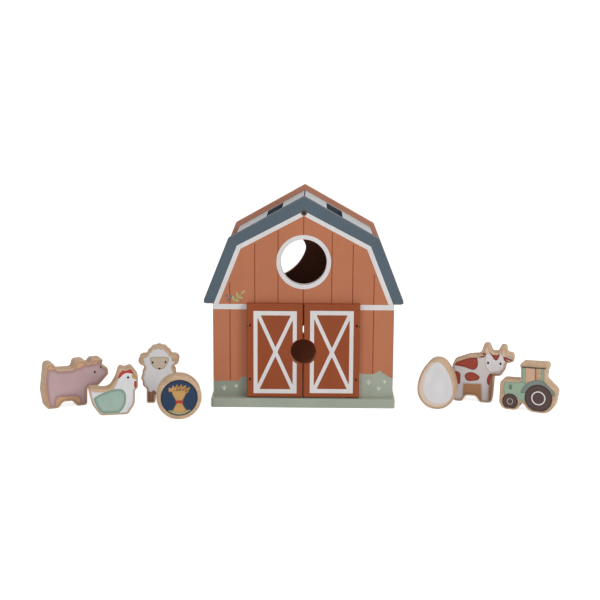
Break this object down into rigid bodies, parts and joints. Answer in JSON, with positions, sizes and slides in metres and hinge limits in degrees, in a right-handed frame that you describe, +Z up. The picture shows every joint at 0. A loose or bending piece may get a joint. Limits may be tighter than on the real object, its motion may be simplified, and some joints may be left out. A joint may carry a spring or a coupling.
{
  "type": "wooden farm shape sorter",
  "caption": "Wooden barn shape sorter with two pin-hinged doors, shape holes in its walls, roof slots and loose farm-shaped blocks.",
  "frame": {"origin": "middle of the base board's flat underside", "axes": "+X to the right seen from the front, +Y to the back, +Z up; the doors face -Y"},
  "size_m": [0.5744, 0.2103, 0.2342],
  "materials": {
    "base_paint": "satin sage paint",
    "wall_paint": "satin terracotta paint",
    "roof_paint": "satin pale grey paint",
    "door_paint": "satin rust paint",
    "bare_wood": "smooth pale hardwood",
    "pig_paint": "pink paint on pale wood",
    "white_paint": "white paint on pale wood",
    "tractor_paint": "sage green paint on pale wood",
    "steel": "plain steel",
    "dark_steel": "dark steel"
  },
  "bodies": {
    "barn": {"base_plate": "base_paint", "front_wall": "wall_paint", "rear_wall": "wall_paint", "left_wall": "wall_paint", "right_wall": "wall_paint", "left_upper_roof": "roof_paint", "right_upper_roof": "roof_paint", "left_lower_roof": "roof_paint", "right_lower_roof": "roof_paint", "ridge_rail": "bare_wood", "base_screws": "steel", "ridge_screws": "dark_steel", "left_hinge_pin": "steel", "right_hinge_pin": "steel", "left_hinge_eyes": "steel", "right_hinge_eyes": "steel"},
    "left_door": {"left_door": "door_paint"},
    "right_door": {"right_door": "door_paint"},
    "pig_block": {"pig_block": "pig_paint"},
    "hen_block": {"hen_block": "white_paint"},
    "sheep_block": {"sheep_block": "white_paint"},
    "round_block": {"round_block": "bare_wood"},
    "egg_block": {"egg_block": "white_paint"},
    "cow_block": {"cow_block": "white_paint"},
    "tractor_block": {"tractor_block": "tractor_paint"}
  },
  "joints": [
    {"name": "left_door_hinge", "type": "hinge", "parent": "barn", "child": "left_door", "pos_m": [-0.0601, -0.0722, 0], "axis": [0, 0, -1], "range_deg": [0, 175]},
    {"name": "right_door_hinge", "type": "hinge", "parent": "barn", "child": "right_door", "pos_m": [0.0601, -0.0722, 0], "axis": [0, 0, 1], "range_deg": [0, 175]},
    {"name": "pig_lift", "type": "slide", "parent": "barn", "child": "pig_block", "axis": [0, 0, 1], "range_m": [0, 0.08]},
    {"name": "hen_lift", "type": "slide", "parent": "barn", "child": "hen_block", "axis": [0, 0, 1], "range_m": [0, 0.08]},
    {"name": "sheep_lift", "type": "slide", "parent": "barn", "child": "sheep_block", "axis": [0, 0, 1], "range_m": [0, 0.08]},
    {"name": "round_lift", "type": "slide", "parent": "barn", "child": "round_block", "axis": [0, 0, 1], "range_m": [0, 0.08]},
    {"name": "egg_lift", "type": "slide", "parent": "barn", "child": "egg_block", "axis": [0, 0, 1], "range_m": [0, 0.08]},
    {"name": "cow_lift", "type": "slide", "parent": "barn", "child": "cow_block", "axis": [0, 0, 1], "range_m": [0, 0.08]},
    {"name": "tractor_lift", "type": "slide", "parent": "barn", "child": "tractor_block", "axis": [0, 0, 1], "range_m": [0, 0.08]}
  ]
}
